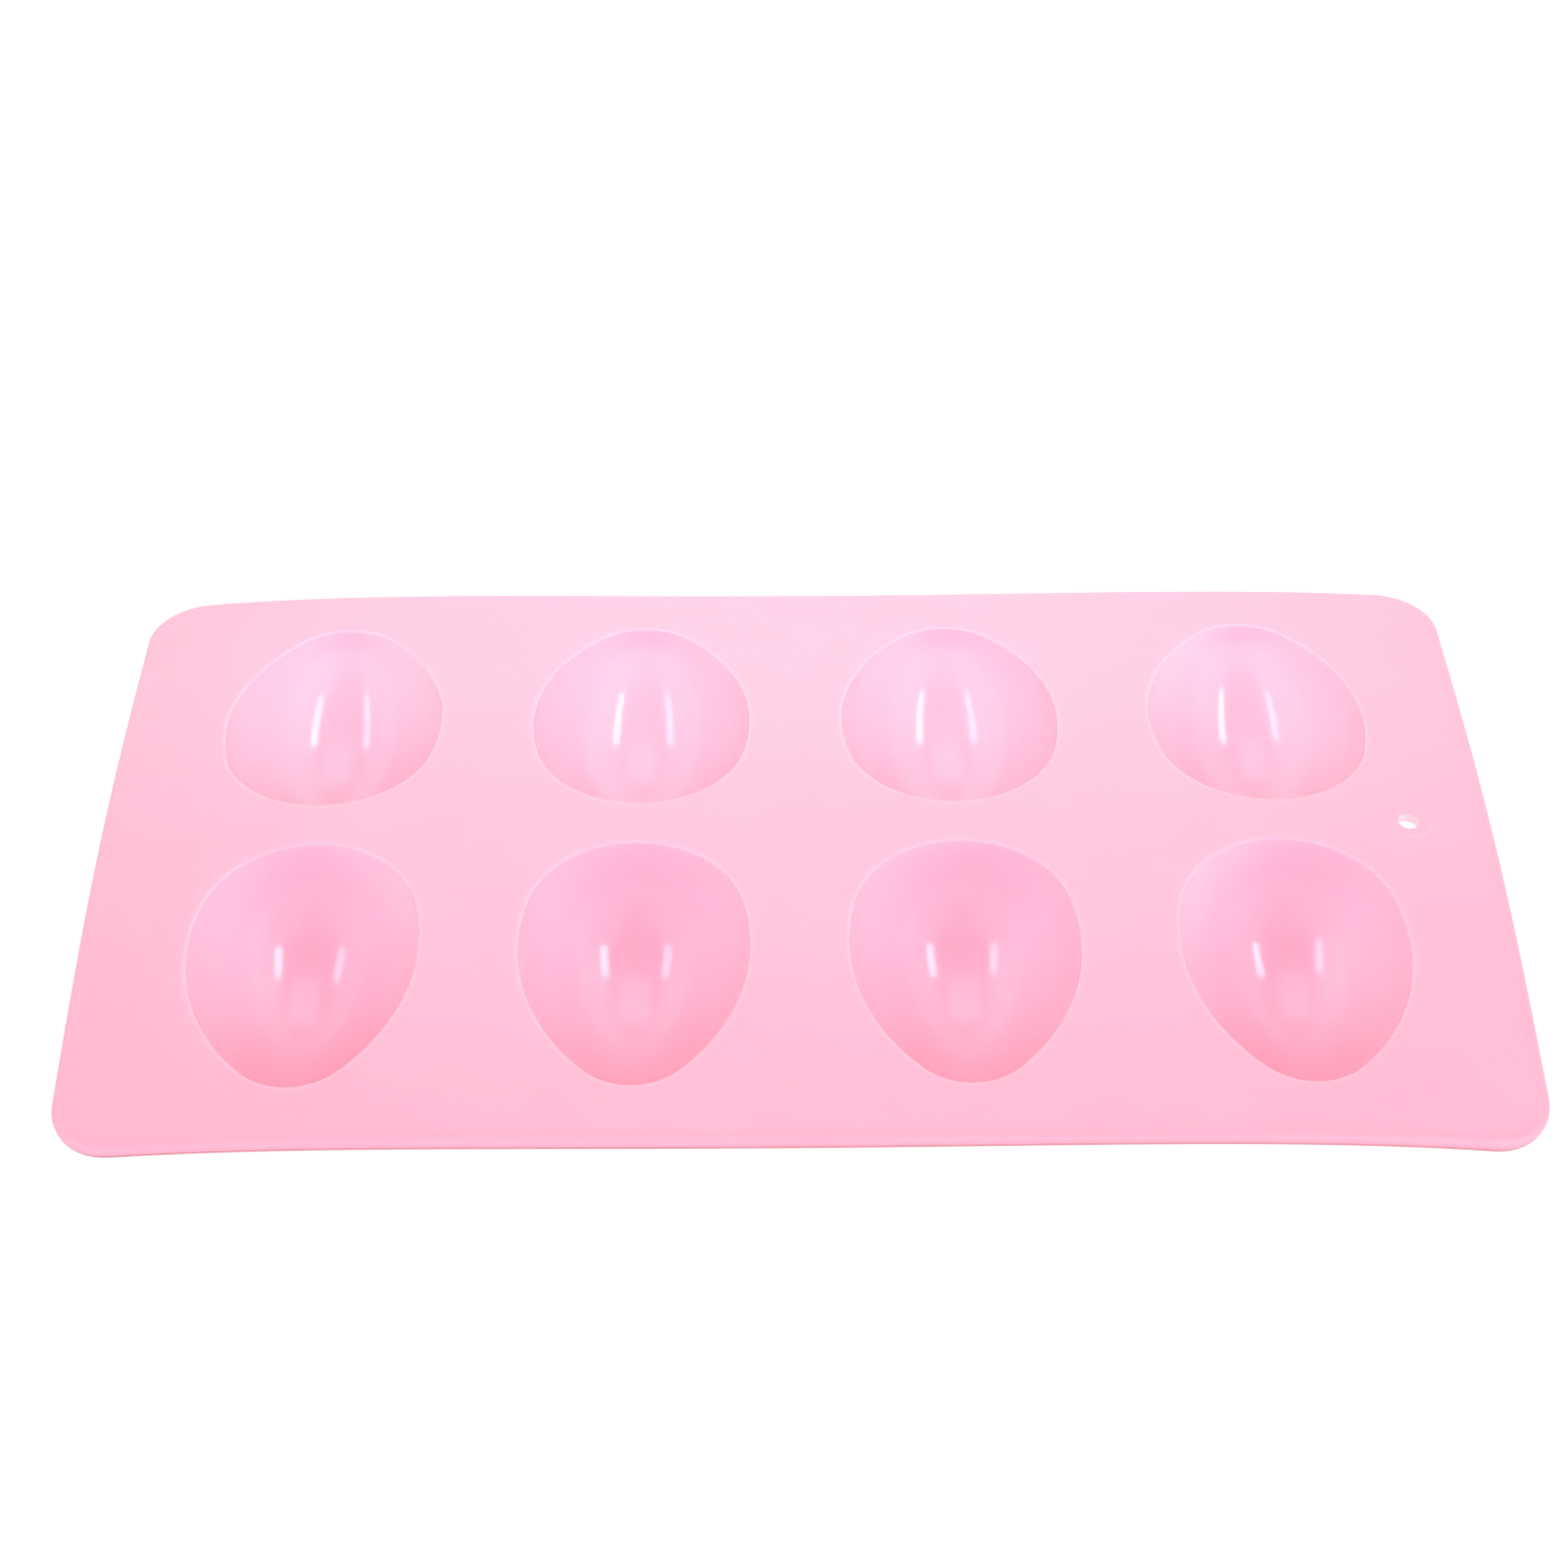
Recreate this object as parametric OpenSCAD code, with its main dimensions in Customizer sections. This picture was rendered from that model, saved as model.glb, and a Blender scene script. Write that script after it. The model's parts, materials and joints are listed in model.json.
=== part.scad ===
// Flexible silicone mould: one sheet with two rows of half-egg cavities.
// The origin is the centre of the footprint, on the surface that the cavity crowns stand on.
// +Z points up out of the open cavities, -Y is the front and the hanging hole is on the +X side.
// It is a single moulding. Each node is one region of it, and regions meet face to face.

/* [Sheet] */
// Length of the sheet, left to right
sheet_l = 300; // [292:1:340]
// Depth of the sheet, front to back
sheet_d = 175; // [172:1:200]
// Thickness of the sheet between the cavities
sheet_t = 1.8; // [1.2:0.1:2]
// Radius of the sheet's corners
corner_r = 13; // [8:0.5:18]

/* [Edge bead] */
// Width of the thicker band that runs round the edge
bead_w = 3; // [2.4:0.1:4]
// Thickness of the band, which stands proud of both faces of the sheet
bead_t = 2.2; // [2.1:0.1:2.8]

/* [Cavities] */
// Number of cavities in each row
cols = 4; // [2:1:4]
// Distance between neighbouring cavities in a row
col_pitch = 68.6; // [60:0.2:70]
// Distance between the two rows, measured at the widest line of each
row_pitch = 73; // [71:0.5:76]
// Width of a cavity at its widest line, which is also twice its depth
cavity_w = 48; // [42:0.5:50]
// Length of a cavity from its widest line to its pointed end
point_len = 36.5; // [34:0.5:38]
// Length of a cavity from its widest line to its blunt end
blunt_len = 30; // [28:0.5:32]
// Radius of the pointed end, as a share of half the cavity's width
point_round = 0.6; // [0.4:0.01:0.8]
// Radius of the blunt end, as a share of half the cavity's width
blunt_round = 0.967; // [0.85:0.001:0.98]
// Thickness of the wall of each cup
wall_t = 1.8; // [1.2:0.1:2.4]

/* [Hanging hole] */
// Diameter of the hole that hangs the mould on a hook
hole_d = 4.4; // [3:0.1:6]
// Diameter of the thicker ring round the hole
eyelet_d = 10; // [8:0.5:14]
// Distance from the right edge of the sheet to the centre of the hole
hole_inset = 18.4; // [12:0.1:19]

/* [Hidden] */
$fn = 96;
SILICONE = [0.99, 0.70, 0.81];
SILICONE_DEEP = [0.96, 0.58, 0.73];
SILICONE_EDGE = [0.94, 0.64, 0.75];
ROWS = ["front", "back"];

cavity_depth = cavity_w / 2;
sheet_top = cavity_depth + wall_t;
sheet_mid = sheet_top - sheet_t / 2;
hole_x = sheet_l / 2 - hole_inset;
// Length of the tools that cut through a flat region, longer than any thickness here
through = 20;
// How far the end arcs of an egg stand out past the side arcs
lap = 0.003;

function cup_name(row, col) = str("cavity_cup_", row, "_", col);

// ---- Plan of one cavity: a long side arc on each side, and a round end ----

// Radius of the side arc that is widest at the widest line and runs smoothly into the end arc
function side_r(len, end_r) = let (h = len - end_r, b = cavity_depth)
    (h * h + b * b - end_r * end_r) / (2 * (b - end_r));

// Distance from the widest line to the point where the side arc meets the end arc
function join_y(len, end_r, grow) = let (h = len - end_r, s = side_r(len, end_r))
    (s + grow) * h / norm([s - cavity_depth, h]);

// Half of one end of the egg's outline, on the +X side, from the widest line out to y = len + grow.
// The end arc is larger by lap, so that the two arcs cross cleanly where they would only touch.
module egg_end(len, end_r, grow) {
    s = side_r(len, end_r);
    y_join = join_y(len, end_r, grow);
    intersection() {
        translate([cavity_depth - s, 0]) circle(s + grow, $fn = 360);
        square([cavity_depth + grow, y_join]);
    }
    intersection() {
        translate([0, len - end_r]) circle(end_r + grow + lap);
        square([cavity_depth + grow, len + grow + 1]);
    }
}

// Right half of the egg's outline, with its point towards +Y, larger all round by grow
module egg_half(grow) {
    egg_end(point_len, cavity_depth * point_round, grow);
    mirror([0, 1]) egg_end(blunt_len, cavity_depth * blunt_round, grow);
}

// ---- Placing ----

// Puts a child that is drawn at the origin, with its point towards +Y, at one cavity's place
module at_cavity(row, col) {
    x = (col - (cols + 1) / 2) * col_pitch;
    y = row_pitch / 2;
    turn = row == "back" ? 0 : 180;
    side = row == "back" ? 1 : -1;
    translate([x, side * y, sheet_top]) rotate([0, 0, turn]) children();
}

// Turns a half outline about the Y axis; part of a turn leaves the lower half of the solid
module turn_about_y(degrees) {
    rotate([-90, 0, 0]) rotate_extrude(angle = degrees) children();
}

// ---- Sheet ----

module rounded_plate(length, depth, radius, thickness) {
    linear_extrude(thickness, center = true) {
        difference() {
            square([length, depth], center = true);
            for (sx = [-1, 1], sy = [-1, 1]) {
                scale([sx, sy]) translate([length / 2 - radius, depth / 2 - radius])
                    difference() {
                        square(radius + 1);
                        circle(radius);
                    }
            }
        }
    }
}

module tray_sheet() {
    inset = 2 * bead_w;
    color(SILICONE) difference() {
        translate([0, 0, sheet_mid])
            rounded_plate(sheet_l - inset, sheet_d - inset, corner_r - bead_w, sheet_t);
        for (row = ROWS, col = [1:cols]) {
            at_cavity(row, col) turn_about_y(360) egg_half(wall_t);
        }
        translate([hole_x, 0, sheet_mid]) cylinder(h = through, d = eyelet_d, center = true);
    }
}

// ---- Edge bead: four straight runs and four quarter turns with a round outer edge ----

module bead_section() {
    r = bead_t / 2;
    translate([-bead_w, -r]) square([bead_w - r, bead_t]);
    intersection() {
        translate([-r, 0]) circle(r, $fn = 48);
        translate([-r, -r]) square([r, bead_t]);
    }
}

module bead_run(run) {
    rotate([90, 0, 0]) linear_extrude(run, center = true) bead_section();
}

module edge_bead() {
    run_l = sheet_l - 2 * corner_r;
    run_d = sheet_d - 2 * corner_r;
    color(SILICONE_EDGE) translate([0, 0, sheet_mid]) {
        for (turn = [0, 180]) {
            rotate([0, 0, turn]) translate([sheet_l / 2, 0, 0]) bead_run(run_d);
            rotate([0, 0, turn + 90]) translate([sheet_d / 2, 0, 0]) bead_run(run_l);
            rotate([0, 0, turn]) translate([run_l / 2, run_d / 2, 0])
                rotate_extrude(angle = 90) translate([corner_r, 0]) bead_section();
            rotate([0, 0, turn]) translate([-run_l / 2, run_d / 2, 0]) rotate([0, 0, 90])
                rotate_extrude(angle = 90) translate([corner_r, 0]) bead_section();
        }
    }
}

// ---- Hanging eyelet ----

module hang_eyelet() {
    color(SILICONE_EDGE) translate([hole_x, 0, sheet_mid]) difference() {
        cylinder(h = bead_t, d = eyelet_d, center = true);
        cylinder(h = through, d = hole_d, center = true);
    }
}

// ---- Cavity cups: the lower half of an egg-shaped shell, open at the top of the sheet ----

module cavity_cup(row, col) {
    color(SILICONE_DEEP) at_cavity(row, col) turn_about_y(180) difference() {
        egg_half(wall_t);
        egg_half(0);
    }
}

tray_sheet();
edge_bead();
hang_eyelet();
for (row = ROWS, col = [1:cols]) {
    cavity_cup(row, col);
}
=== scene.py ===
"""Looks of a silicone soap mould: one bent sheet with half-egg cavities, a beaded edge and a hanging hole.

Every piece is drawn flat, in the CAD frame, and then bent as the flexible sheet lies.
"""

import json
import math

import bmesh
import bpy
import numpy as np
from mathutils import Matrix, Vector
from mathutils.geometry import delaunay_2d_cdt


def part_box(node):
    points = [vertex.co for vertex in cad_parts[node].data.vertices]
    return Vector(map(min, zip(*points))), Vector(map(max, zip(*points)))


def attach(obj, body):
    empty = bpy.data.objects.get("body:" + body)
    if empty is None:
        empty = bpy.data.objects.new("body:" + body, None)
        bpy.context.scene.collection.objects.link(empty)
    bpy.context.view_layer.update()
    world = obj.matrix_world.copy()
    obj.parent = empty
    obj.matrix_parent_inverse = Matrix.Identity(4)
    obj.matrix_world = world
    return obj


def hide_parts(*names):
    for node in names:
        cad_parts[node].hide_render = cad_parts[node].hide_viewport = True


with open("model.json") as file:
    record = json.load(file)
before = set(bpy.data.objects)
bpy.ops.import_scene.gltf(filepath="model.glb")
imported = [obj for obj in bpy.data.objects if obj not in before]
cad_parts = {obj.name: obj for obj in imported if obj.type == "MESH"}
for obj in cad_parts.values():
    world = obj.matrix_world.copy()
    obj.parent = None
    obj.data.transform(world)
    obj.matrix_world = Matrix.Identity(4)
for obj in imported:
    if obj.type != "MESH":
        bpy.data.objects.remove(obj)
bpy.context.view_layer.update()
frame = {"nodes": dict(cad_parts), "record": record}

MM = 0.001

# ---- Sizes that the CAD model gives ----

SHEET_LOW, SHEET_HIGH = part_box("tray_sheet")
BEAD_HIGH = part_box("edge_bead")[1]
EYELET_LOW, EYELET_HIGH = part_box("hang_eyelet")
TOP = SHEET_HIGH.z
SHEET_T = SHEET_HIGH.z - SHEET_LOW.z
BEAD_PROUD = BEAD_HIGH.z - TOP
BEAD_W = BEAD_HIGH.x - SHEET_HIGH.x
HALF_L = BEAD_HIGH.x
HALF_D = BEAD_HIGH.y
HOLE = (EYELET_LOW + EYELET_HIGH) / 2
MOUNTS = {m["name"]: m for m in frame["record"]["mounts"]}
HOLE_R = MOUNTS["hang_hole"]["dims"]["r_mm"] * MM
EYELET_W = (EYELET_HIGH.x - EYELET_LOW.x) / 2 - HOLE_R
CUPS = sorted(n for n in frame["nodes"] if n.startswith("cavity_cup"))

# ---- Sizes of the cups and of the sheet's corners ----

WALL = 1.8 * MM
BLUNT_LEN = 30 * MM
POINT_ROUND = 0.6
BLUNT_ROUND = 0.967
CORNER_R = 13 * MM

# ---- Blends: the rim's sharp turn and the soft slope outside it, the fillet below, and the bands ----

RIM_TURN_R = 0.45 * MM
RIM_SLOPE_R = 6.0 * MM
RIM_SLOPE = math.radians(11)
ROOT_FILLET = 2.0 * MM
BEAD_RAMP = 1.7 * MM
EYELET_RAMP = 0.35 * MM
SHEET_EDGE_R = 1.05 * MM
HOLE_EDGE_R = 0.3 * MM
FOOT_R = 0.4 * MM

# Distance from a cup's rim to the seam between its skin and the sheet's
CUP_SEAM = 4.0 * MM

# ---- Colours: the sheet's pink, pinks painted as light in the cavities, on the rims and walls and in the hole, and a pink painted as shade at the sheet's edge ----

PINK = (0.960, 0.412, 0.552)
# A lighter, more lilac copy of the pink, painted inside the cavities as light
CAVITY_PAINTED_LIGHT_PINK = (0.985, 0.463, 0.617)
# A pale pink painted as light that would come through the rubber, and as highlights on the rims
PAINTED_LIGHT_PINK = (0.95, 0.80, 0.82)
# A dark pink painted as shade on the sheet's edge, and as a shadow line along its foot
PAINTED_SHADE_PINK = (0.46, 0.07, 0.10)

# Darkest tone of the mottle, as a share of the shade it falls on
MOTTLE = (0.985, 0.975, 0.980)

# ---- Shares of the pale pink painted as light: a painted highlight on the rims, painted light on the walls down to a depth, and painted light on the hole's wall ----

RIM_PAINTED_HIGHLIGHT = 0.22
WALL_PAINTED_LIGHT = 0.05
SIDE_PAINTED_LIGHT = 0.11
INNER_PAINTED_LIGHT = 0.45
PAINTED_LIGHT_DEPTH = 20 * MM
HOLE_PAINTED_LIGHT = 0.55
HOLE_WALL_REACH = 0.05 * MM

# ---- Share of the dark pink painted as shade on the sheet's edge, and the painted shadow line along the edge's foot that has all of it ----

EDGE_PAINTED_SHADE = 0.22
FOOT_SHADOW_LINE = 0.2 * MM
FOOT_SHADOW_FADE = 0.1 * MM

# ---- Roughness of the rubber: its range on the sheet, and how much less it is in the cavities ----

SATIN = (0.34, 0.42)
CAVITY_POLISH = 0.25

# ---- How the sheet lies: heights are for its ends and margins, and its middle is level ----

MARGIN_DROOP = 8.9 * MM
MARGIN_LIFT = 2.2 * MM
BACK_LIFT = 0.8 * MM
END_LIFT = 3.2 * MM
END_DROOP = 6.4 * MM
BACK_END_LIFT = 0.4 * MM
CORNER_LIFT = 0.3 * MM
RIGHT_TWIST = 0.2 * MM
RIGHT_BACK_LIFT = 0.9 * MM

# ---- Mesh fineness ----

EGG_STEPS = 144
HOLE_STEPS = 48
CORNER_STEPS = 12
WALL_RINGS = 30
RIM_STEPS = 6
FILLET_STEPS = 8
RAMP_STEPS = 5
FLAT_STEPS = 3
EDGE_STEPS = 8
FOOT_STEPS = 5

# Side of the sheet's even triangles, and the gap between them and the sheet's borders
GRID = 3.6 * MM
GRID_GAP = 0.5 * GRID

# Points of the plan closer than this are one point
MERGE = 1e-7

# A bowl's upper edge is found by halving the range from its centre to a little past the rim
HALVINGS = 40
PAST_RIM = 1.2


# ---- Outlines: points, and at each the direction into the material ----

def egg_arcs():
    """The egg's plan as arcs, anticlockwise from its right side.

    Each is (centre u, centre v, radius, start, stop), with v along the egg towards its point.
    """
    arcs = []
    for h, end_r, sign in ((POINT_H, POINT_R, 1), (-BLUNT_H, BLUNT_R, -1)):
        side = SIDE_R[sign]
        join = math.atan2(abs(h), side - EGG_R)
        quarter = [
            (EGG_R - side, 0, side, 0, join),
            (0, h, end_r, join, math.pi - join),
            (side - EGG_R, 0, side, math.pi - join, math.pi),
        ]
        if sign < 0:
            quarter = [(-u, v, r, math.pi + a, math.pi + b) for u, v, r, a, b in quarter]
        arcs += quarter
    return arcs


def side_radius(h, end_r):
    """Radius of the side arc that is widest at the widest line and runs smoothly into the end arc."""
    return (h * h + EGG_R ** 2 - end_r ** 2) / (2 * (EGG_R - end_r))


def egg_outline():
    """The rim's points, the outward directions, and the radius of the cavity's section across the rim."""
    arcs = egg_arcs()
    lengths = [r * (b - a) for _, _, r, a, b in arcs]
    ends = np.cumsum(lengths)
    points, normals, radii = [], [], []
    for s in np.arange(EGG_STEPS) * ends[-1] / EGG_STEPS:
        k = int(np.searchsorted(ends, s, side="right"))
        u, v, r, start, _ = arcs[k]
        angle = start + (s - ends[k] + lengths[k]) / r
        normal = np.array((math.cos(angle), math.sin(angle)))
        point = np.array((u, v)) + r * normal
        points.append(point)
        normals.append(normal)
        radii.append(r if u == 0 else point[0] / normal[0])
    return np.array(points), np.array(normals), np.array(radii)


def rectangle_outline():
    """The sheet's outer edge, with the directions into the sheet."""
    x, y = HALF_L - CORNER_R, HALF_D - CORNER_R
    points, normals = [], []
    for k, (cx, cy) in enumerate(((x, y), (-x, y), (-x, -y), (x, -y))):
        for a in (k + np.arange(CORNER_STEPS + 1) / CORNER_STEPS) * math.pi / 2:
            out = np.array((math.cos(a), math.sin(a)))
            points.append(np.array((cx, cy)) + CORNER_R * out)
            normals.append(-out)
        run = 2 * (x if k % 2 == 0 else y)
        along = np.array((-normals[-1][1], normals[-1][0]))
        steps = round(run / GRID)
        for i in range(1, steps):
            points.append(points[-1] - along * run / steps)
            normals.append(normals[-1])
    return np.array(points), np.array(normals)


def hole_outline():
    """The hanging hole's edge, with the directions into the ring round it."""
    a = np.arange(HOLE_STEPS) * 2 * math.pi / HOLE_STEPS
    normals = np.stack((np.cos(a), np.sin(a)), 1)
    return np.array((HOLE.x, HOLE.y)) + HOLE_R * normals, normals


# ---- The egg as a solid of revolution about its long axis ----

cup_low, cup_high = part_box(CUPS[0])
EGG_R = (cup_high.x - cup_low.x) / 2 - WALL
POINT_LEN = cup_high.y - cup_low.y - 2 * WALL - BLUNT_LEN
POINT_R = EGG_R * POINT_ROUND
BLUNT_R = EGG_R * BLUNT_ROUND
POINT_H = POINT_LEN - POINT_R
BLUNT_H = BLUNT_LEN - BLUNT_R
SIDE_R = {1: side_radius(POINT_H, POINT_R), -1: side_radius(BLUNT_H, BLUNT_R)}
RIM, RIM_OUT, RIM_RADIUS = egg_outline()


def girth_radius(v, grow):
    """Radius of the egg at v along its axis, larger all round by grow."""
    result = np.zeros_like(v)
    for sign, h, end_r in ((1, POINT_H, POINT_R), (-1, BLUNT_H, BLUNT_R)):
        a = np.abs(v)
        side = SIDE_R[sign] + grow
        join = side * h / math.hypot(SIDE_R[sign] - EGG_R, h)
        on_side = np.sqrt(np.maximum(side ** 2 - a ** 2, 0)) - (SIDE_R[sign] - EGG_R)
        on_end = np.sqrt(np.maximum((end_r + grow) ** 2 - (a - h) ** 2, 0))
        result = np.where(v * sign >= 0, np.where(a <= join, on_side, on_end), result)
    return result


def egg_depth(plan, grow):
    """Depth of the egg's surface under the points of plan."""
    return np.sqrt(np.maximum(girth_radius(plan[:, 1], grow) ** 2 - plan[:, 0] ** 2, 0))


def egg_distance(u, v):
    """Distance of a point from the egg's rim, positive outside it."""
    result = np.zeros_like(u)
    for sign, h, end_r in ((1, POINT_H, POINT_R), (-1, BLUNT_H, BLUNT_R)):
        flat = SIDE_R[sign] - EGG_R
        a, w = np.abs(u) + flat, np.abs(v)
        to_side = np.hypot(a, w) - SIDE_R[sign]
        to_end = np.hypot(u, w - h) - end_r
        here = np.where(w * flat > a * h, to_end, to_side)
        result = np.where(v * sign >= 0, here, result)
    return result


def bowl_rings(grow, start_depth):
    """Rings from where the bowl is start_depth deep, at each point of the rim, down to near its crown."""
    low, high = np.zeros(EGG_STEPS), np.full(EGG_STEPS, PAST_RIM)
    for _ in range(HALVINGS):
        middle = (low + high) / 2
        deeper = egg_depth(RIM * middle[:, None], grow) > start_depth
        low, high = np.where(deeper, middle, low), np.where(deeper, high, middle)
    rings = []
    for k in range(WALL_RINGS):
        plan = RIM * (low * math.cos(k / WALL_RINGS * math.pi / 2))[:, None]
        rings.append(np.column_stack((plan, -egg_depth(plan, grow))))
    return rings


# ---- Sections: (distance from the free edge into the material, height over the sheet's top) ----

def arc(centre, radius, start, stop, steps):
    """Points round part of a circle, with angles in degrees."""
    angles = np.radians(np.linspace(start, stop, steps + 1))
    return [(centre[0] + radius * math.cos(a), centre[1] + radius * math.sin(a)) for a in angles]


def band_section(width, ramp_w, edge_r):
    """A band that slopes down to the sheet's thickness where it meets the sheet.

    Its free edge has the radius edge_r above and FOOT_R below.
    """
    high, low = BEAD_PROUD, -SHEET_T - BEAD_PROUD
    foot_top = low + FOOT_R + FOOT_SHADOW_LINE
    ease = [(t, (1 - math.cos(math.pi * t)) / 2) for t in np.linspace(0, 1, RAMP_STEPS + 1)]
    ramp = [(width - ramp_w * t, BEAD_PROUD * rise) for t, rise in ease]
    flat = np.linspace(width - ramp_w, edge_r, FLAT_STEPS + 1)[1:-1]
    section = list(ramp)
    section += [(e, high) for e in flat]
    section += arc((edge_r, high - edge_r), edge_r, 90, 180, EDGE_STEPS)
    # These two points bound the painted shadow line along the edge's foot
    section += [(0, foot_top + FOOT_SHADOW_FADE), (0, foot_top)]
    section += arc((FOOT_R, low + FOOT_R), FOOT_R, 180, 270, FOOT_STEPS)
    section += [(e, low) for e in flat[::-1]]
    section += [(e, -SHEET_T - z) for e, z in reversed(ramp)]
    return section


# ---- Bending and mesh making ----

def lie(x, y):
    """Height of the sheet's top at (x, y) where it lies bent, over where it would be flat."""
    x, y = x / HALF_L, y / HALF_D
    across = -MARGIN_DROOP * y ** 2 + BACK_LIFT * y ** 3 + MARGIN_LIFT * y ** 4
    along = END_LIFT * x ** 2 - END_DROOP * x ** 4
    corners = BACK_END_LIFT * x ** 2 * y + CORNER_LIFT * x ** 2 * y ** 2
    return across + along + corners - RIGHT_TWIST * x * y + RIGHT_BACK_LIFT * x ** 3 * y


def bend(points):
    """Moves flat points to where they lie, keeping their distance from the sheet's top."""
    step = 0.1 * MM
    x, y, z = points.T
    slope_x = (lie(x + step, y) - lie(x - step, y)) / (2 * step)
    slope_y = (lie(x, y + step) - lie(x, y - step)) / (2 * step)
    normal = np.column_stack((-slope_x, -slope_y, np.ones_like(x)))
    normal /= np.linalg.norm(normal, axis=1)[:, None]
    base = np.column_stack((x, y, TOP + lie(x, y)))
    return base + normal * (z - TOP)[:, None]


def make_piece(name, points, faces, sharp=(), shares=None):
    """A bent, closed, smooth mesh.

    sharp lists the pairs of vertices on sharp edges. shares holds the material's values, one per vertex.
    """
    mesh = bpy.data.meshes.new(name)
    mesh.from_pydata(bend(points).tolist(), [], faces)
    for share, values in (shares or {}).items():
        mesh.attributes.new(share, "FLOAT", "POINT").data.foreach_set("value", values)
    body = bmesh.new()
    body.from_mesh(mesh)
    bmesh.ops.recalc_face_normals(body, faces=body.faces)
    for face in body.faces:
        face.smooth = True
    body.verts.ensure_lookup_table()
    for a, b in sharp:
        body.edges.get((body.verts[a], body.verts[b])).smooth = False
    body.to_mesh(mesh)
    body.free()
    piece = bpy.data.objects.new(name, mesh)
    bpy.context.scene.collection.objects.link(piece)
    return piece


def loft(name, rings, sharp_rings, poles=None, shares=None):
    """Skins rings of equal counts. With no poles, the last ring joins the first.

    shares has a value, or one value per vertex, for each ring.
    """
    count = len(rings[0])
    points = np.vstack(rings)
    ahead = np.roll(np.arange(count), -1)
    faces = []
    joins = len(rings) - (0 if poles is None else 1)
    for k in range(joins):
        a, b = k * count, (k + 1) % len(rings) * count
        faces += [(a + i, a + ahead[i], b + ahead[i], b + i) for i in range(count)]
    if poles is not None:
        points = np.vstack((points, poles))
        first, last = len(rings) * count, (len(rings) - 1) * count
        faces += [(first, ahead[i], i) for i in range(count)]
        faces += [(first + 1, last + i, last + ahead[i]) for i in range(count)]
    faces = [tuple(int(i) for i in f) for f in faces]
    sharp = [(k * count + i, k * count + int(ahead[i])) for k in sharp_rings for i in range(count)]
    spread = {}
    for share, values in (shares or {}).items():
        ends = [] if poles is None else [np.mean(values[0]), np.mean(values[-1])]
        spread[share] = np.concatenate([np.broadcast_to(v, count) for v in values] + [ends])
    return make_piece(name, points, faces, sharp, spread)


def band(name, outline, section, painted_light=0.0, painted_shade_w=0.0):
    """A closed band that sweeps section along outline.

    Its wall at the free edge takes the given share of the pale pink painted as light. The dark pink
    painted as shade on the edge fades in over the given width, where one is given.
    """
    points, normals = outline
    rings = []
    for e, z in section:
        plan = points + normals * e
        rings.append(np.column_stack((plan, np.full(len(plan), TOP + z))))
    edge, height = np.array(section).T
    shares = {"painted_light": np.where(edge < HOLE_WALL_REACH, painted_light, 0.0)}
    # Dark pink painted as shade fades in towards the edge, and is full on the painted shadow line at the
    # foot
    if painted_shade_w:
        foot_top = FOOT_R + FOOT_SHADOW_LINE - SHEET_T - BEAD_PROUD
        painted_shade = EDGE_PAINTED_SHADE * np.clip(1 - edge / painted_shade_w, 0, 1)
        painted_shade[(height < foot_top + FOOT_SHADOW_FADE / 2) & (edge <= FOOT_R)] = 1
        shares["painted_shade"] = painted_shade
    return loft(name, rings, [0, len(section) - 1], shares=shares)


# ---- The cups ----

def cup_place(node):
    """(centre x, y of the widest line, direction of the point) of a cup, from its CAD box."""
    low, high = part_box(node)
    x = (low.x + high.x) / 2
    if low.y + high.y > 0:
        return x, low.y + BLUNT_LEN + WALL, 1
    return x, high.y - BLUNT_LEN - WALL, -1


def placed(points, place):
    """Puts (u, v, height over the sheet's top) points at a cup's place."""
    x, y, sign = place
    return np.column_stack((x + sign * points[:, 0], y + sign * points[:, 1], TOP + points[:, 2]))


def rim_ring(offset, z):
    """A ring that stands offset out from the rim, at height z over the sheet's top."""
    plan = RIM + RIM_OUT * np.broadcast_to(offset, EGG_STEPS)[:, None]
    return np.column_stack((plan, np.broadcast_to(z, EGG_STEPS)))


def painted_light_shares(place):
    """Shares of the pale pink painted as light round a cup's upper wall, and as a painted highlight round
    its rim.

    The wall has more of it on its long sides, most of all on the outer cups' sides that are nearer
    the middle of the mould. The rim's painted highlight is stronger towards the front.
    """
    x, _, sign = place
    inner = np.maximum(0, -sign * RIM_OUT[:, 0] * x / HALF_L)
    wall = WALL_PAINTED_LIGHT + SIDE_PAINTED_LIGHT * RIM_OUT[:, 0] ** 2 + INNER_PAINTED_LIGHT * inner
    rim = RIM_PAINTED_HIGHLIGHT * (1 - sign * RIM_OUT[:, 1]) / 2
    return wall, rim


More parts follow.
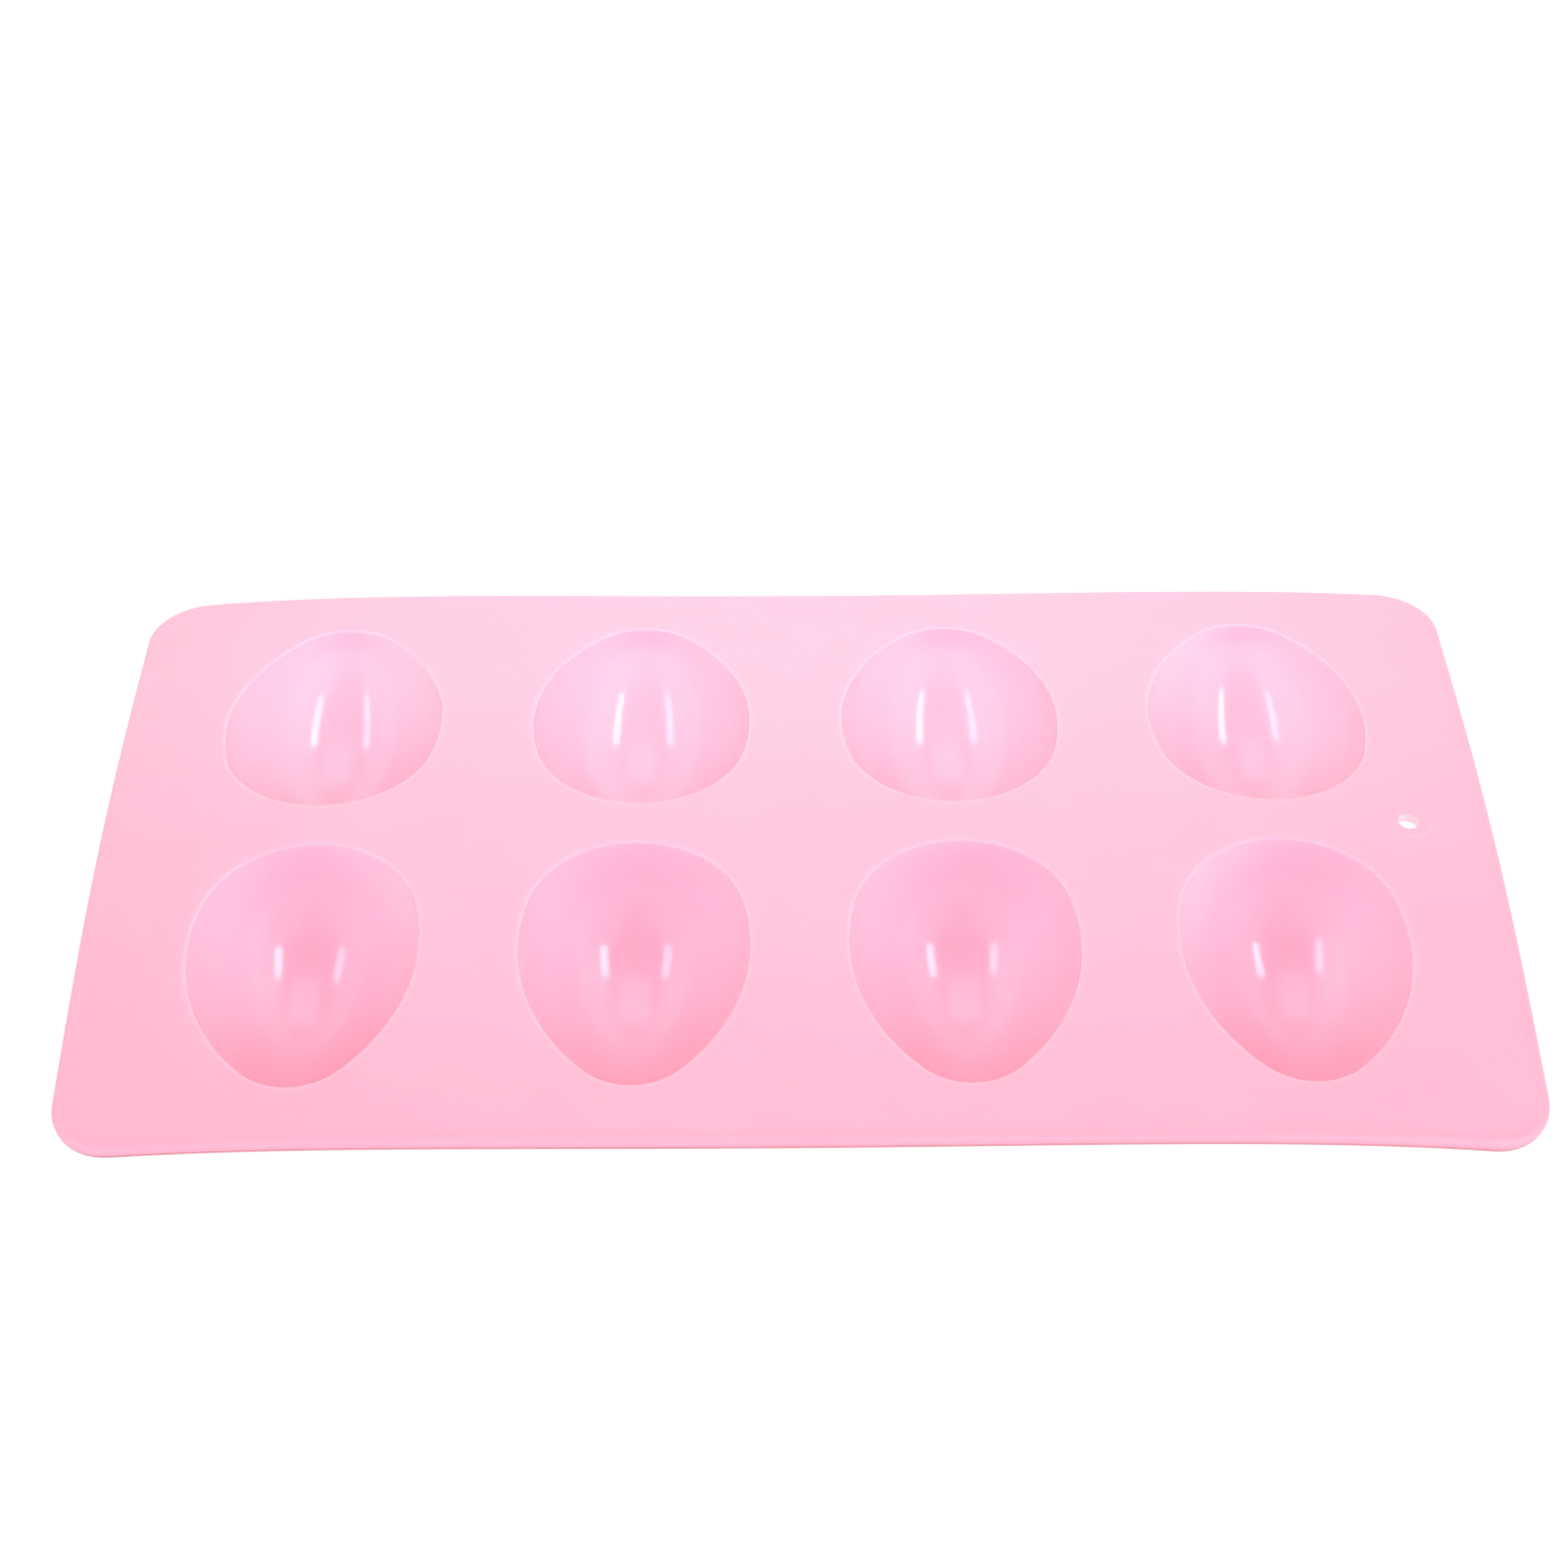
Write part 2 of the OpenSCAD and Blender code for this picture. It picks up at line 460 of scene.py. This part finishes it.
def cup_inside(place):
    """Rings from near the crown up to the seam in the sheet, with two shares in each: polish, which also
    mixes in the cavities' lighter pink painted as light, and the pale pink painted as light.

    The bowl ends in a sharp turn, which runs into a soft slope that ends level.
    """
    wall_painted_light, rim_painted_highlight = painted_light_shares(place)
    drop = RIM_SLOPE_R - (RIM_SLOPE_R - RIM_TURN_R) * math.cos(RIM_SLOPE)
    low = np.arcsin(drop / (RIM_RADIUS + RIM_TURN_R))
    reach = (RIM_RADIUS + RIM_TURN_R) * np.cos(low) - RIM_RADIUS
    rings = bowl_rings(0, RIM_RADIUS * drop / (RIM_RADIUS + RIM_TURN_R))[::-1]
    # Polish is full in the bowl, and with it the cavities' lighter pink painted as light; the pale pink
    # painted as light fades out with depth
    polish_and_painted_cavity_light = [1.0] * len(rings)
    painted_light = [wall_painted_light * max(0, 1 + r[:, 2].mean() / PAINTED_LIGHT_DEPTH) for r in rings]
    for t in np.linspace(0, 1, RIM_STEPS + 1)[1:]:
        a = low + (math.pi / 2 - RIM_SLOPE - low) * t
        rings.append(rim_ring(reach - RIM_TURN_R * np.cos(a), RIM_TURN_R * np.sin(a) - drop))
        polish_and_painted_cavity_light.append(1 - t)
        painted_light.append(wall_painted_light + (rim_painted_highlight - wall_painted_light) * t)
    slope_end = reach + (RIM_SLOPE_R - RIM_TURN_R) * math.sin(RIM_SLOPE)
    for t in np.linspace(1, 0, RIM_STEPS + 1)[1:]:
        a = RIM_SLOPE * t
        rings.append(rim_ring(slope_end - RIM_SLOPE_R * math.sin(a), RIM_SLOPE_R * (math.cos(a) - 1)))
        polish_and_painted_cavity_light.append(0.0)
        painted_light.append(rim_painted_highlight * t ** 2)
    rings.append(rim_ring((slope_end + CUP_SEAM) / 2, 0))
    rings.append(rim_ring(CUP_SEAM, 0))
    return rings, polish_and_painted_cavity_light, painted_light


def cup_outside():
    """Rings from the seam under the sheet, round the fillet, and down to near the crown."""
    rings = [rim_ring(CUP_SEAM, -SHEET_T)]
    outer = RIM_RADIUS + WALL + ROOT_FILLET
    drop = SHEET_T + ROOT_FILLET
    low = np.arcsin(drop / outer)
    reach = outer * np.cos(low) - RIM_RADIUS
    for t in np.linspace(1, 0, FILLET_STEPS + 1):
        a = low + (math.pi / 2 - low) * t
        rings.append(rim_ring(reach - ROOT_FILLET * np.cos(a), ROOT_FILLET * np.sin(a) - drop))
    return rings + bowl_rings(WALL, drop * (RIM_RADIUS + WALL) / outer)[1:]


def make_cup(node):
    """A cup's skin: its inside, a strip of the sheet round its rim, and its outside."""
    place = cup_place(node)
    rings, polish_and_painted_cavity_light, painted_light = cup_inside(place)
    top_seam = len(rings) - 1
    rings += cup_outside()
    # The inside's shares: polish with the cavities' lighter pink painted as light, and the pale pink
    # painted as light; the outside has none
    shares = {name: values + [0.0] * (len(rings) - len(values)) for name, values in
              (("polish_and_painted_cavity_light", polish_and_painted_cavity_light), ("painted_light", painted_light))}
    poles = np.array(((0, 0, -EGG_R), (0, 0, -EGG_R - WALL)))
    rings = [placed(r, place) for r in rings]
    return loft(node + "_skin", rings, [top_seam, top_seam + 1], placed(poles, place), shares)


# ---- The sheet between them ----

def sheet_clearance(x, y):
    """Distance of a point from the nearest border of the sheet, negative outside the sheet."""
    qx = np.abs(x) - (HALF_L - CORNER_R)
    qy = np.abs(y) - (HALF_D - CORNER_R)
    outer = np.hypot(np.maximum(qx, 0), np.maximum(qy, 0)) + np.minimum(np.maximum(qx, qy), 0)
    clear = np.minimum(CORNER_R - BEAD_W - outer, np.hypot(x - HOLE.x, y - HOLE.y) - HOLE_R - EYELET_W)
    for node in CUPS:
        cx, cy, sign = cup_place(node)
        clear = np.minimum(clear, egg_distance((x - cx) * sign, (y - cy) * sign) - CUP_SEAM)
    return clear


def sheet_borders():
    """Closed loops of plan points: the bead's inner edge, the ring's outer edge and the cups' seams."""
    points, normals = rectangle_outline()
    loops = [points + normals * BEAD_W]
    points, normals = hole_outline()
    loops.append(points + normals * EYELET_W)
    for node in CUPS:
        cx, cy, sign = cup_place(node)
        loops.append(np.array((cx, cy)) + sign * (RIM + RIM_OUT * CUP_SEAM))
    return loops


def sheet_plan():
    """Plan points and triangles of the sheet: its borders, and a grid of even triangles between them."""
    loops = sheet_borders()
    edges, start = [], 0
    for loop in loops:
        edges += [(start + i, start + (i + 1) % len(loop)) for i in range(len(loop))]
        start += len(loop)
    xs = np.arange(-HALF_L, HALF_L, GRID)
    ys = np.arange(-HALF_D, HALF_D, GRID * math.sqrt(3) / 2)
    grid = np.array([(x + (k % 2) * GRID / 2, y) for k, y in enumerate(ys) for x in xs])
    grid = grid[sheet_clearance(*grid.T) > GRID_GAP]
    points = [Vector(p) for p in np.vstack(loops + [grid])]
    result = delaunay_2d_cdt(points, edges, [], 0, MERGE)
    plan = np.array([tuple(p) for p in result[0]])
    faces = np.array(result[2])
    centres = plan[faces].mean(axis=1)
    return plan, faces[sheet_clearance(*centres.T) > 0]


def make_sheet():
    """The sheet's skin: the plan's triangles above and below, and walls round its borders."""
    plan, faces = sheet_plan()
    count = len(plan)
    sides = dict.fromkeys((int(a), int(b)) for face in faces for a, b in zip(face, np.roll(face, -1)))
    rims = [(a, b) for a, b in sides if (b, a) not in sides]
    top = [tuple(int(i) for i in f) for f in faces]
    under = [tuple(int(i) + count for i in f[::-1]) for f in faces]
    walls = [(b, a, a + count, b + count) for a, b in rims]
    sharp = rims + [(a + count, b + count) for a, b in rims]
    heights = np.repeat((TOP, TOP - SHEET_T), count)
    points = np.column_stack((np.vstack((plan, plan)), heights))
    return make_piece("tray_sheet_skin", points, top + under + walls, sharp)


# ---- Material ----

def noise(tree, scale, detail):
    """Noise over the object's own coordinates, with about scale blobs to the metre."""
    place = tree.nodes.new("ShaderNodeTexCoord")
    node = tree.nodes.new("ShaderNodeTexNoise")
    node.inputs["Scale"].default_value = scale
    node.inputs["Detail"].default_value = detail
    tree.links.new(place.outputs["Object"], node.inputs["Vector"])
    return node.outputs["Fac"]


def share(tree, name):
    """A share that the mesh stores at its vertices, and zero where it stores none."""
    node = tree.nodes.new("ShaderNodeAttribute")
    node.attribute_name = name
    return node.outputs["Fac"]


def mottle(tree):
    """Tones to multiply the colour by, in soft patches."""
    node = tree.nodes.new("ShaderNodeValToRGB")
    tree.links.new(noise(tree, scale=60, detail=3), node.inputs["Fac"])
    dark, light = node.color_ramp.elements
    dark.position = 0.3
    dark.color = (*MOTTLE, 1)
    light.position = 0.7
    light.color = (1, 1, 1, 1)
    return node.outputs["Color"]


def rubber_colour(tree):
    """The sheet's pink, mixed by their shares with the cavities' lighter pink painted as light, the pale
    pink painted as light and highlights, and the dark pink painted as shade, and mottled.
    """
    colour = None
    for name, shade in (("polish_and_painted_cavity_light", CAVITY_PAINTED_LIGHT_PINK), ("painted_light", PAINTED_LIGHT_PINK), ("painted_shade", PAINTED_SHADE_PINK)):
        node = tree.nodes.new("ShaderNodeMixRGB")
        tree.links.new(share(tree, name), node.inputs["Fac"])
        node.inputs["Color1"].default_value = (*PINK, 1)
        if colour:
            tree.links.new(colour, node.inputs["Color1"])
        node.inputs["Color2"].default_value = (*shade, 1)
        colour = node.outputs["Color"]
    mottled = tree.nodes.new("ShaderNodeMixRGB")
    mottled.blend_type = "MULTIPLY"
    mottled.inputs["Fac"].default_value = 1
    tree.links.new(colour, mottled.inputs["Color1"])
    tree.links.new(mottle(tree), mottled.inputs["Color2"])
    return mottled.outputs["Color"]


def rubber_roughness(tree):
    """A satin that varies a little, smoother by the share of polish."""
    satin = tree.nodes.new("ShaderNodeMapRange")
    tree.links.new(noise(tree, scale=400, detail=4), satin.inputs["Value"])
    satin.inputs["To Min"].default_value = SATIN[0]
    satin.inputs["To Max"].default_value = SATIN[1]
    gloss = tree.nodes.new("ShaderNodeMath")
    gloss.operation = "MULTIPLY_ADD"
    tree.links.new(share(tree, "polish_and_painted_cavity_light"), gloss.inputs[0])
    gloss.inputs[1].default_value = -CAVITY_POLISH
    tree.links.new(satin.outputs["Result"], gloss.inputs[2])
    return gloss.outputs["Value"]


def rubber_grain(tree):
    """A fine, shallow bump."""
    bump = tree.nodes.new("ShaderNodeBump")
    bump.inputs["Strength"].default_value = 0.25
    bump.inputs["Distance"].default_value = 0.03 * MM
    tree.links.new(noise(tree, scale=1800, detail=3), bump.inputs["Height"])
    return bump.outputs["Normal"]


def silicone():
    """Pink silicone rubber: satin on the sheet, and as smooth as the polished tool inside the cavities."""
    material = bpy.data.materials.new("silicone_rubber")
    material.use_nodes = True
    tree = material.node_tree
    shader = tree.nodes["Principled BSDF"]
    shader.inputs["IOR"].default_value = 1.41
    tree.links.new(rubber_colour(tree), shader.inputs["Base Color"])
    tree.links.new(rubber_roughness(tree), shader.inputs["Roughness"])
    tree.links.new(rubber_grain(tree), shader.inputs["Normal"])
    return material


# ---- Stage, lights and camera ----

def make_floor(half=4.0):
    """A pale floor that glows a little, so that the mould's shadow on it almost vanishes."""
    mesh = bpy.data.meshes.new("floor")
    corners = [(-half, -half, 0), (half, -half, 0), (half, half, 0), (-half, half, 0)]
    mesh.from_pydata(corners, [], [(0, 1, 2, 3)])
    floor = bpy.data.objects.new("floor", mesh)
    bpy.context.scene.collection.objects.link(floor)
    material = bpy.data.materials.new("floor_white")
    material.use_nodes = True
    shader = material.node_tree.nodes["Principled BSDF"]
    shader.inputs["Base Color"].default_value = (0.15, 0.15, 0.15, 1)
    shader.inputs["Roughness"].default_value = 0.9
    shader.inputs["Emission Color"].default_value = (1, 1, 1, 1)
    shader.inputs["Emission Strength"].default_value = 0.93
    mesh.materials.append(material)


def area_light(name, place, size, radiance, seen_in, target=(0, 0, 0), turn=0, tint=(1, 1, 1)):
    """A rectangle of light of the given radiance, seen only in the diffuse or only in the glossy shading.

    Its width lies level, apart from turn, in degrees round the line to the target.
    """
    data = bpy.data.lights.new(name, "AREA")
    data.shape = "RECTANGLE"
    data.size, data.size_y = size
    data.energy = radiance * math.pi * size[0] * size[1]
    data.color = tint
    light = bpy.data.objects.new(name, data)
    light.location = place
    back = (Vector(place) - Vector(target)).normalized()
    side = Vector((0, 1, 0)).cross(back).normalized()
    square_on = Matrix((side, back.cross(side), back)).transposed()
    light.rotation_euler = (square_on @ Matrix.Rotation(math.radians(turn), 3, "Z")).to_euler()
    light.visible_camera = False
    light.visible_diffuse = seen_in == "diffuse"
    light.visible_glossy = seen_in == "glossy"
    bpy.context.scene.collection.objects.link(light)


def make_world(bright=1.7, dark=0.05, dark_from=0.35, dark_to=0.65, narrowing=0.8):
    """A surround for reflections: bright, and dark in a band overhead from front to back.

    It goes from bright to dark as the direction's height, less narrowing times how far it leans to
    either side, goes from dark_from to dark_to.
    """
    world = bpy.data.worlds.new("studio")
    world.use_nodes = True
    nodes, links = world.node_tree.nodes, world.node_tree.links
    direction = nodes.new("ShaderNodeSeparateXYZ")
    links.new(nodes.new("ShaderNodeTexCoord").outputs["Generated"], direction.inputs["Vector"])
    across = nodes.new("ShaderNodeMath")
    across.operation = "ABSOLUTE"
    links.new(direction.outputs["X"], across.inputs[0])
    overhead = nodes.new("ShaderNodeMath")
    overhead.operation = "MULTIPLY_ADD"
    links.new(across.outputs["Value"], overhead.inputs[0])
    overhead.inputs[1].default_value = -narrowing
    links.new(direction.outputs["Z"], overhead.inputs[2])
    fall = nodes.new("ShaderNodeMapRange")
    fall.interpolation_type = "SMOOTHSTEP"
    fall.inputs["From Min"].default_value = dark_from
    fall.inputs["From Max"].default_value = dark_to
    fall.inputs["To Min"].default_value = bright
    fall.inputs["To Max"].default_value = dark
    links.new(overhead.outputs["Value"], fall.inputs["Value"])
    links.new(fall.outputs["Result"], nodes["Background"].inputs["Strength"])
    nodes["Background"].inputs["Color"].default_value = (1, 1, 1, 1)
    world.cycles_visibility.diffuse = False
    bpy.context.scene.world = world


def make_soft_boxes():
    """Boxes that light the rubber: in front, behind, above, at both sides and close over the back row.

    The last one hangs a little behind the row's middle.
    """
    area_light("front_box", (0, -1.4, 1.6), (1.5, 0.9), 6.6, "diffuse", tint=(1, 0.985, 1.03))
    area_light("rear_low_box", (0, 1.5, 0.55), (1.6, 0.6), 1.3, "diffuse", tint=(1, 0.96, 1.12))
    area_light("top_box", (0, -0.3, 2.0), (1.2, 1.2), 0.5, "diffuse")
    for side, radiance in ((1, 3.7), (-1, 2.9)):
        area_light(f"side_box_{side}", (side * 1.67, -0.67, 0.6), (1.1, 2.2), radiance, "diffuse")
    low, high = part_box("cavity_cup_back_1")
    y = (low.y + high.y) / 2 + 50 * MM
    area_light("row_box", (0, y, 0.2), (0.36, 0.08), 3.9, "diffuse", target=(0, y, 0), tint=(1, 1, 0.86))


def make_reflections():
    """Long strips for the paired streaks in the cavities, and a faint screen for the patch between."""
    for side, radiance in ((1, 13), (-1, 8.5)):
        area_light(f"strip_{side}", (side * 1.46, 0, 2.5), (0.36, 1.6), radiance, "glossy", turn=side * 11)
    area_light("rear_screen", (0, 1.2, 2.5), (1.2, 1.3), 1.55, "glossy")


def make_camera(lift):
    """Looks down on the mould from in front, with the focal length of a short telephoto lens."""
    pitch = math.radians(40.61)
    yaw = math.radians(0.55)
    distance = 746.2 * MM
    aim = Vector((-2.8 * MM, 12.3 * MM, TOP + lift))
    forward = Vector((math.sin(yaw) * math.cos(pitch), math.cos(yaw) * math.cos(pitch), -math.sin(pitch)))
    data = bpy.data.cameras.new("camera")
    data.lens = 78.76
    data.sensor_width = 36
    data.clip_start = 0.01
    camera = bpy.data.objects.new("camera", data)
    camera.location = aim - forward * distance
    camera.rotation_euler = forward.to_track_quat("-Z", "Y").to_euler()
    bpy.context.scene.collection.objects.link(camera)
    bpy.context.scene.camera = camera


# ---- The object ----

pieces = {
    "tray_sheet": make_sheet(),
    # The bead's edge has dark pink painted on it as shade, with a painted shadow line at its foot
    "edge_bead": band("edge_bead_skin", rectangle_outline(),
                      band_section(BEAD_W, BEAD_RAMP, SHEET_EDGE_R), painted_shade_w=SHEET_EDGE_R),
    # The hole's wall has pale pink painted on it as light
    "hang_eyelet": band("hang_eyelet_skin", hole_outline(),
                        band_section(EYELET_W, EYELET_RAMP, HOLE_EDGE_R), painted_light=HOLE_PAINTED_LIGHT),
}
for node in CUPS:
    pieces[node] = make_cup(node)

lift = -min(v.co.z for piece in pieces.values() for v in piece.data.vertices)
rubber = silicone()
for node, piece in pieces.items():
    piece.data.transform(Matrix.Translation((0, 0, lift)))
    piece.data.materials.append(rubber)
    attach(piece, "root")
    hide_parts(node)

make_floor()
make_world()
make_soft_boxes()
make_reflections()
make_camera(lift)
bpy.context.scene.view_settings.view_transform = "Standard"
